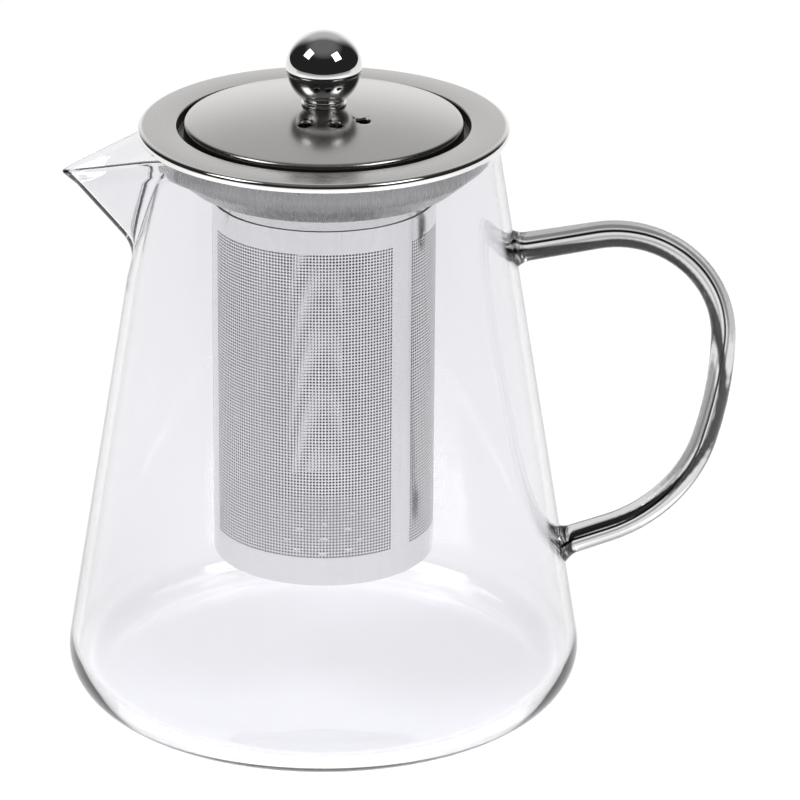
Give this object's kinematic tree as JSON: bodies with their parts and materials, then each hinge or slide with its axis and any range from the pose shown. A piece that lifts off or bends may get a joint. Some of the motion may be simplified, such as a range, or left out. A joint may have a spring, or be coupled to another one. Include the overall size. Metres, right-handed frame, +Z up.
{
  "type": "teapot",
  "caption": "Conical glass teapot with a pulled pouring lip, a glass loop handle, a lift-out perforated steel infuser and a domed steel lid with a ball knob.",
  "frame": {"origin": "centre of the pot's flat base, on the surface it stands on", "axes": "+Z up along the pot's axis, spout toward -X, handle toward +X, front toward -Y"},
  "size_m": [0.1683, 0.13, 0.1726],
  "materials": {
    "glass": "clear",
    "satin_steel": "satin",
    "brushed_steel": "brushed",
    "polished_steel": "mirror"
  },
  "bodies": {
    "pot": {"glass_body": "glass", "glass_handle": "glass"},
    "infuser": {"infuser_flange": "satin_steel", "infuser_collar": "brushed_steel", "infuser_wall": "brushed_steel", "infuser_base": "brushed_steel"},
    "lid": {"lid_plate": "satin_steel", "knob_neck": "polished_steel", "knob_lower_shell": "polished_steel", "knob_upper_shell": "polished_steel", "knob_screw": "polished_steel"}
  },
  "joints": [
    {"name": "infuser_lift", "type": "slide", "parent": "pot", "child": "infuser", "axis": [0, 0, 1], "range_m": [0, 0.125]},
    {"name": "lid_lift", "type": "slide", "parent": "infuser", "child": "lid", "axis": [0, 0, 1], "range_m": [0, 0.06]}
  ]
}
